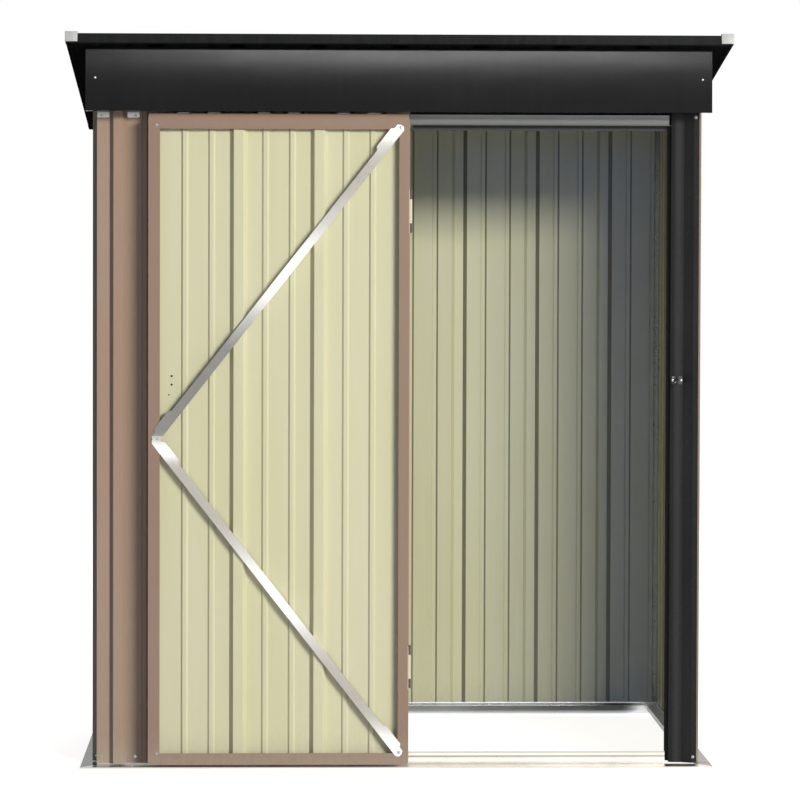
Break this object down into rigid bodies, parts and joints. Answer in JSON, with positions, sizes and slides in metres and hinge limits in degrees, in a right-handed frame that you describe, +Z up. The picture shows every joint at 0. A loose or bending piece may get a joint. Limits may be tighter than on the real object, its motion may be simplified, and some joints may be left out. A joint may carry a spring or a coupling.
{
  "type": "storage shed",
  "caption": "Small ribbed steel garden shed with a pent roof, a curved front fascia and a hinged door that opens flat against the front wall.",
  "frame": {"origin": "on the ground in the middle of the outline, below the centre of the roof", "axes": "+Z up, -Y towards the front with the door, +X to the right seen from the front"},
  "size_m": [1.602, 0.94, 1.78],
  "materials": {
    "galvanised_steel": "satin",
    "zinc_hardware": "satin",
    "grey_plastic": "matt",
    "charcoal_paint": "semi-gloss",
    "cream_paint": "satin",
    "taupe_paint": "satin"
  },
  "bodies": {
    "shed": {"base_rail_front": "galvanised_steel", "base_rail_back": "galvanised_steel", "base_rail_left": "galvanised_steel", "base_rail_right": "galvanised_steel", "front_wall": "taupe_paint", "front_top_panel": "taupe_paint", "left_wall": "taupe_paint", "right_wall": "taupe_paint", "back_wall_left": "taupe_paint", "back_wall_right": "taupe_paint", "post_front_left": "galvanised_steel", "post_back_left": "galvanised_steel", "post_back_right": "galvanised_steel", "hinge_post": "cream_paint", "latch_post": "charcoal_paint", "door_header": "galvanised_steel", "top_rail_front": "galvanised_steel", "top_rail_back": "galvanised_steel", "top_rail_left": "galvanised_steel", "top_rail_right": "galvanised_steel", "roof_purlin": "galvanised_steel", "roof_sheet_left": "charcoal_paint", "roof_sheet_right": "charcoal_paint", "roof_trim_front_left": "charcoal_paint", "roof_trim_front_right": "charcoal_paint", "roof_trim_back_left": "charcoal_paint", "roof_trim_back_right": "charcoal_paint", "roof_trim_left": "charcoal_paint", "roof_trim_right": "charcoal_paint", "roof_cap_front_left": "grey_plastic", "roof_cap_front_right": "grey_plastic", "roof_cap_back_left": "grey_plastic", "roof_cap_back_right": "grey_plastic", "fascia": "charcoal_paint", "fascia_end_left": "charcoal_paint", "fascia_end_right": "charcoal_paint", "hinge_leaves_frame": "taupe_paint", "latch_keeper": "zinc_hardware"},
    "door": {"door_panel": "taupe_paint", "door_stile_hinge": "taupe_paint", "door_stile_latch": "taupe_paint", "door_rail_top": "taupe_paint", "door_rail_bottom": "taupe_paint", "door_brace_upper": "zinc_hardware", "door_brace_lower": "zinc_hardware", "door_latch": "zinc_hardware", "hinge_leaves_door": "zinc_hardware"}
  },
  "joints": [
    {"name": "door_swing", "type": "hinge", "parent": "shed", "child": "door", "pos_m": [0.0284, -0.405, 0], "axis": [0, 0, 1], "range_deg": [0, 180]}
  ]
}
